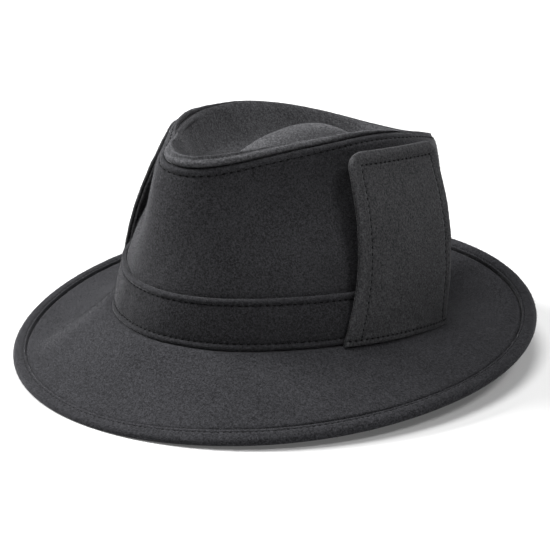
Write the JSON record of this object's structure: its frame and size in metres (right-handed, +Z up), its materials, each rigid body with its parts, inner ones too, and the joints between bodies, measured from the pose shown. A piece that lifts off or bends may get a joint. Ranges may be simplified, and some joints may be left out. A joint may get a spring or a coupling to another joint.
{
  "type": "felt hat with turned-up ear flaps",
  "caption": "Charcoal felt hat with a pinched teardrop crown, a snap brim, a band of its own felt and two ear flaps turned up against the crown.",
  "frame": {"origin": "on the resting surface, under the middle of the hat's length and width", "axes": "+Z up from the resting surface; -Y towards the front of the hat, the way the wearer faces; +X towards the wearer's left"},
  "size_m": [0.2858, 0.2948, 0.1298],
  "materials": {
    "crown_felt": "charcoal brushed wool felt",
    "tip_felt": "charcoal brushed wool felt, slightly lighter nap",
    "brim_felt": "charcoal brushed wool felt, two layers stitched along a folded edge",
    "band_felt": "charcoal brushed wool felt strip with folded and stitched edges",
    "flap_felt": "charcoal brushed wool felt, two layers stitched round the edge"
  },
  "bodies": {
    "root": {"crown_side": "crown_felt", "crown_tip": "tip_felt", "brim": "brim_felt", "hat_band": "band_felt", "ear_flap_left": "flap_felt", "ear_flap_right": "flap_felt"}
  },
  "joints": []
}
